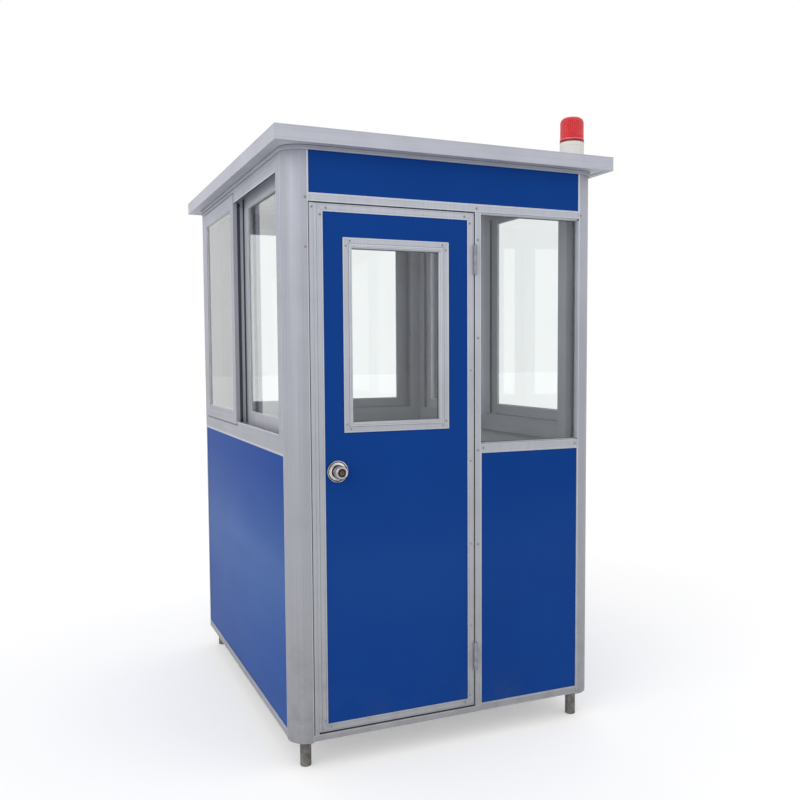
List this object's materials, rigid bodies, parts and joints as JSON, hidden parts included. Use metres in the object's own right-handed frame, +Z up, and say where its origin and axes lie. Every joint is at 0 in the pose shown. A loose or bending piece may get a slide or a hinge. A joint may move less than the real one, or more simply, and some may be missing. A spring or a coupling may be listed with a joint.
{
  "type": "security guard booth",
  "caption": "Free-standing cabin of blue sandwich panels in an aluminium frame, on pipe feet, with a hinged door, a fixed front window, sliding side windows and a red roof beacon.",
  "frame": {"origin": "on the ground, at the centre of the plan", "axes": "-Y is the front with the door, +X the right-hand side seen from the front, +Z up"},
  "size_m": [1.394, 1.755, 2.476],
  "materials": {
    "galvanised_pipe": "dull galvanised, dark grey",
    "floor_sheet": "matt grey",
    "frame_aluminium": "satin anodised",
    "roof_sheet": "pale grey paint",
    "blue_panel": "smooth blue prepainted sheet",
    "window_glass": "clear, faintly green",
    "hinge_steel": "satin steel",
    "lock_chrome": "bright",
    "white_plastic": "white moulded",
    "red_lens": "red translucent moulding"
  },
  "bodies": {
    "root": {"feet": "galvanised_pipe", "floor_joists": "galvanised_pipe", "floor_deck": "floor_sheet", "base_rails": "frame_aluminium", "corner_columns": "frame_aluminium", "roof_slab": "roof_sheet", "roof_edge": "frame_aluminium", "cornice": "frame_aluminium", "front_lintel": "frame_aluminium", "front_top_panel": "blue_panel", "door_jamb": "frame_aluminium", "door_stop": "frame_aluminium", "window_post": "frame_aluminium", "front_sill": "frame_aluminium", "front_lower_panel": "blue_panel", "front_window_frame": "frame_aluminium", "front_window_glass": "window_glass", "left_lower_panel": "blue_panel", "left_window_frame": "frame_aluminium", "left_outer_sash": "frame_aluminium", "left_inner_sash": "frame_aluminium", "left_window_glass": "window_glass", "right_lower_panel": "blue_panel", "right_window_frame": "frame_aluminium", "right_outer_sash": "frame_aluminium", "right_inner_sash": "frame_aluminium", "right_window_glass": "window_glass", "rear_lower_panel": "blue_panel", "rear_window_frame": "frame_aluminium", "rear_outer_sash": "frame_aluminium", "rear_inner_sash": "frame_aluminium", "rear_window_glass": "window_glass", "frame_hinges": "hinge_steel", "beacon_base": "white_plastic", "beacon_lens": "red_lens"},
    "door": {"door_panel": "blue_panel", "door_edging": "frame_aluminium", "door_window_frame": "frame_aluminium", "door_window_glass": "window_glass", "door_hinges": "hinge_steel", "door_lock": "lock_chrome"},
    "knob": {"door_knobs": "lock_chrome"}
  },
  "joints": [
    {"name": "door_hinge", "type": "hinge", "parent": "root", "child": "door", "pos_m": [0.0935, -0.832, 0.11], "axis": [0, 0, 1], "range_deg": [0, 170]},
    {"name": "knob_turn", "type": "hinge", "parent": "door", "child": "knob", "pos_m": [-0.467, -0.825, 1.1], "axis": [0, 1, 0], "range_deg": [-60, 60], "stiffness_Nm_per_rad": 0.4}
  ]
}
